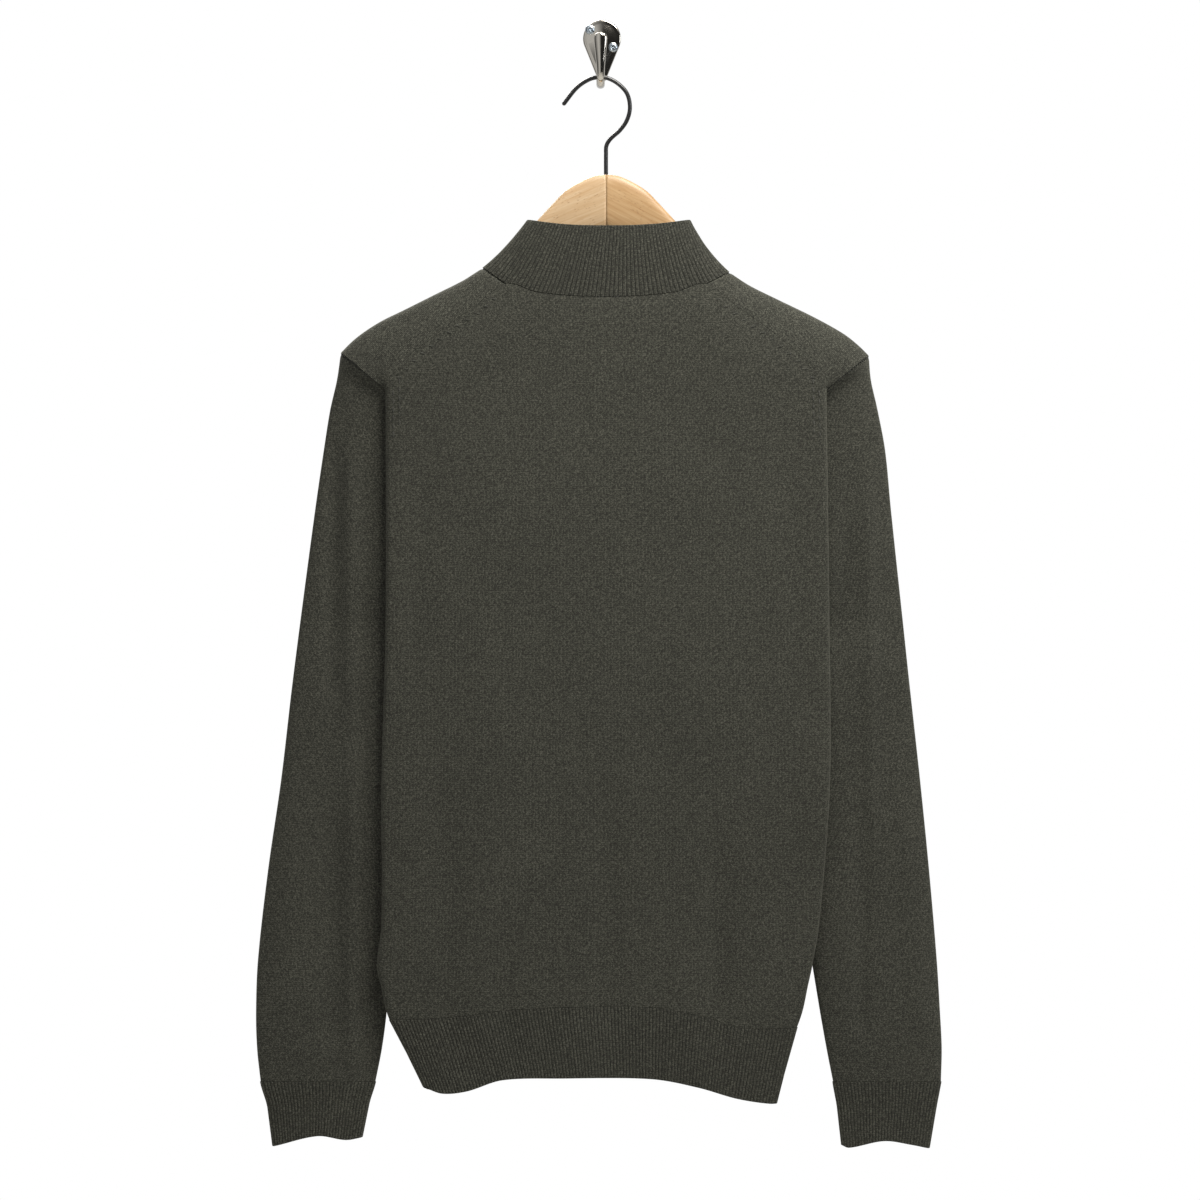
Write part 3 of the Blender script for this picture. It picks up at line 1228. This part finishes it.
beech = {
    "left": {"light": "#d6ba95", "dark": "#c4a075", "turn": 22},
    "right": {"light": "#cba97d", "dark": "#b2895a", "turn": -28},
    "pore": "#8f6440",
    # noise scales, per metre: broad grain, fine grain and flecks along, through and across it
    "grain": (22, 200, 420),
    "fine": (60, 500, 1300),
    "fleck": (210, 600, 850),
    "patches": 95,
    "fleckShare": 0.65,
}


def beechMaterial(side):  # steamed beech under satin lacquer: calm grain along the arm and short brown flecks
    values = beech[sideName(side)]
    made, tree = emptyMaterial(f"beech_{sideName(side)}")
    spot = add(tree, "TexCoord", out="Object")
    turned = add(tree, "Mapping", {"Vector": spot, "Rotation": (0, math.radians(values["turn"]), 0)})
    grainSpace = add(tree, "Mapping", {"Vector": turned, "Scale": beech["grain"]})
    grain = noise(tree, grainSpace, 1, 5, Roughness=0.6, Distortion=0.4)
    fineSpace = add(tree, "Mapping", {"Vector": turned, "Scale": beech["fine"]})
    fine = noise(tree, fineSpace, 1, 3)
    tone = maths(tree, "MULTIPLY_ADD", fine, 0.35, grain)
    base = ramp(tree, tone, [(0.45, values["dark"]), (0.85, values["light"])])
    fleckSpace = add(tree, "Mapping", {"Vector": turned, "Scale": beech["fleck"]})
    fleck = add(tree, "TexVoronoi", {"Vector": fleckSpace, "Scale": 1, "Randomness": 1}, out="Distance")
    fleck = ramp(tree, fleck, [(0.14, "#ffffff"), (0.28, "#000000")])
    patchy = noise(tree, turned, beech["patches"], 2)
    patchy = ramp(tree, patchy, [(0.46, "#000000"), (0.6, "#ffffff")])
    amount = maths(tree, "MULTIPLY", maths(tree, "MULTIPLY", fleck, patchy), beech["fleckShare"])
    base = blend(tree, amount, base, colour(beech["pore"]))
    bump = add(tree, "Bump", {"Height": tone, "Strength": 0.12, "Distance": 0.0003})
    finishMaterial(tree, {"Base Color": base, "Roughness": 0.42, "IOR": 1.5, "Coat Weight": 0.15,
                          "Coat Roughness": 0.3, "Normal": bump})
    return made


def metalMaterial(name, code, roughness, metallic=1.0, coat=0.0):
    # plated or lacquered metal: even colour, with the slight unevenness of its gloss
    made, tree = emptyMaterial(name)
    spot = add(tree, "TexCoord", out="Object")
    patchy = noise(tree, spot, 240, 3)
    rough = maths(tree, "MULTIPLY_ADD", patchy, 0.06, roughness - 0.03)
    finishMaterial(tree, {"Base Color": colour(code), "Metallic": metallic, "Roughness": rough, "Coat Weight": coat})
    return made


# The object
jersey = woolMaterial("wool_jersey")
ribKnit = woolMaterial("wool_rib", ribs["hem"])
collarKnit = woolMaterial("wool_collar_rib", ribs["collar"])
seamYarn = threadMaterial("wool_seam_yarn", "#36372f")
markYarn = threadMaterial("wool_fashion_mark", "#4a4a41")
tapeWeave = tapeMaterial()
zipMetal = metalMaterial("dark_nickel_zip", "#6f6c66", 0.34)
blackWire = metalMaterial("black_lacquered_wire", "#1b1b1b", 0.36, metallic=0.0, coat=0.5)
nickel = metalMaterial("polished_nickel", "#d2cdc3", 0.12)
zinc = metalMaterial("bright_zinc_screw", "#b9c3cb", 0.28)

cloths = {
    "back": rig.replaces(backPanel(jersey), "back_panel"),
    "front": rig.replaces(frontPanel(jersey), "front_panel"),
    "collar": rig.replaces(collar(collarKnit), "collar"),
}
for side in (-1, 1):
    name = sideName(side)
    cloths["sleeve_" + name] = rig.replaces(sleeve(side, jersey), "sleeve_" + name)
    cloths["cuff_" + name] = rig.replaces(cuff(side, ribKnit), "cuff_" + name)
    cloths["tape_" + name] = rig.replaces(zipTape(side, tapeWeave), "zip_tape_" + name)
for face, name in ((-1, "back"), (1, "front")):
    cloths["hem_" + name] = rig.replaces(hem(face, ribKnit), "hem_" + name)
print("cloth made")

seams, marks, zipThreads = seamStitches(seamYarn), fashionMarks(markYarn), zipStitches(seamYarn)
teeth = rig.replaces(zipTeeth(zipMetal), "zip_chain")
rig.slot(teeth, "zip_metal")
for made in (seams, marks, zipThreads):
    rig.slot(made, "knit")
for node in ("zip_slider", "zip_pull"):
    for held in frame["nodes"][node].material_slots:
        held.material = zipMetal
print("sewing and zip made")

wood = {}
for side in (-1, 1):
    name = sideName(side)
    wood[name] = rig.replaces(hangerArm(side, beechMaterial(side)), "hanger_arm_" + name)
    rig.slot(wood[name], "beech")
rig.slot(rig.replaces(wireHook(blackWire), "hanger_hook"), "black_wire")
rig.slot(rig.replaces(ringObject("wall_hook_metal", [wallPlate(), wallFinger()], nickel), "wall_hook"), "nickel")
for name, x, z, turn in screws["places"]:
    head = screwHead(name, x, z, turn, zinc)
    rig.slot(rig.replaces(head, name.replace("_head", "")), "zinc")
print("hanger and hook made")

# Cut sizes of what shows: width, length and, where the cut isn't a rectangle, its area
arms = [wood["left"], wood["right"]]
cuts = {
    "back": {"flat": (0.52, 0.64), "area": 0.29, "rests_on": arms},
    "front": {"flat": (0.53, 0.72), "area": 0.31, "rests_on": arms,
              "with_pieces": [seams, marks, zipThreads, teeth]},
    "sleeve_left": {"flat": (0.3, 0.62), "area": 0.15, "rests_on": [cloths["front"]]},
    "sleeve_right": {"flat": (0.3, 0.62), "area": 0.15, "rests_on": [cloths["front"]]},
    "collar": {"flat": (0.45, 0.075), "area": 0.027, "rests_on": [cloths["front"]]},
    "hem_back": {"flat": (0.47, 0.063), "rests_on": [cloths["back"]]},
    "hem_front": {"flat": (0.47, 0.063), "rests_on": [cloths["front"]]},
    "cuff_left": {"flat": (0.18, 0.052), "rests_on": [cloths["sleeve_left"]]},
    "cuff_right": {"flat": (0.18, 0.052), "rests_on": [cloths["sleeve_right"]]},
    "tape_left": {"flat": (0.01, 0.165), "area": 0.0005, "rests_on": [cloths["front"]]},
    "tape_right": {"flat": (0.01, 0.165), "area": 0.0005, "rests_on": [cloths["front"]]},
}
slots = {"collar": "rib", "hem": "rib", "cuff": "rib", "tape": "zip_tape"}
for name, cut in cuts.items():
    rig.sheet(cloths[name], held="hung", **cut)
    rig.slot(cloths[name], slots.get(name.split("_")[0], "knit"))

# Camera, light and floor, in metres
studio = {
    "aim": (-0.0017, -0.04, -0.4828),
    "distance": 3.2,
    "width": 1.02,  # what the picture spans at the aim
    # the room's light from left (0) to right (1), with a long soft box on the left
    "room": [(0.0, "#242424"), (0.3, "#cacaca"), (0.41, "#cacaca"), (0.52, "#242424"), (1.0, "#282828")],
    "wall": "#c4c4c4",
    "wallShare": [(0.46, "#000000"), (0.6, "#ffffff")],
    "background": "#ffffff",
    "lights": [
        # name, place, size, watts, colour
        ("key_light", (0.5, -0.85, 1.08), 0.8, 40, "#fffcf6"),
        ("side_light", (1.5, -0.9, 0.2), 0.6, 6, "#f8fbff"),
        ("wall_side_light", (-0.4, 1.3, 1.1), 1.0, 34, "#fffcf6"),
    ],
    "floorZ": -1.6,
    "floorHalf": 2.4,
    "floor": "#e6e5e2",
}
camera = sceneObject("camera", bpy.data.cameras.new("camera"))
camera.data.lens = camera.data.sensor_width * studio["distance"] / studio["width"]
camera.location = (studio["aim"][0], studio["aim"][1] - studio["distance"], studio["aim"][2])
camera.rotation_euler = (math.pi / 2, 0, 0)
bpy.context.scene.camera = camera

world = bpy.data.worlds.new("studio")
world.use_nodes = True
tree = world.node_tree
toward = add(tree, "SeparateXYZ", {"Vector": add(tree, "TexCoord", out="Generated")}).node.outputs
right, back = (maths(tree, "MULTIPLY_ADD", toward[k], 0.5, 0.5) for k in "XY")
share, room = ramp(tree, back, studio["wallShare"]), ramp(tree, right, studio["room"])
light = blend(tree, share, room, colour(studio["wall"]))
behind = add(tree, "LightPath", out="Is Camera Ray")
light = blend(tree, behind, light, colour(studio["background"]))
tree.links.new(light, tree.nodes["Background"].inputs["Color"])
bpy.context.scene.world = world
bpy.context.scene.view_settings.view_transform = "Standard"

for name, spot, size, watts, tint in studio["lights"]:
    lamp = bpy.data.lights.new(name, "AREA")
    lamp.shape, lamp.size, lamp.energy, lamp.color = "SQUARE", size, watts, colour(tint)[:3]
    made = sceneObject(name, lamp)
    made.location = spot
    made.rotation_euler = (Vector(studio["aim"]) - made.location).to_track_quat("-Z", "Y").to_euler()

floorMaterial, tree = emptyMaterial("pale_studio_floor")
finishMaterial(tree, {"Base Color": colour(studio["floor"]), "Roughness": 0.8})
h, z = studio["floorHalf"], studio["floorZ"]
floorMesh = bpy.data.meshes.new("floor")
floorMesh.from_pydata([(-h, -h, z), (h, -h, z), (h, h, z), (-h, h, z)], [], [(0, 1, 2, 3)])
floorMesh.materials.append(floorMaterial)
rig.stage(sceneObject("floor", floorMesh))
print("studio made")

visualBox = [list(corner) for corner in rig.bounds()]
with open("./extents.json", "w") as file:
    json.dump({"cad": cadBox, "visual": visualBox}, file)
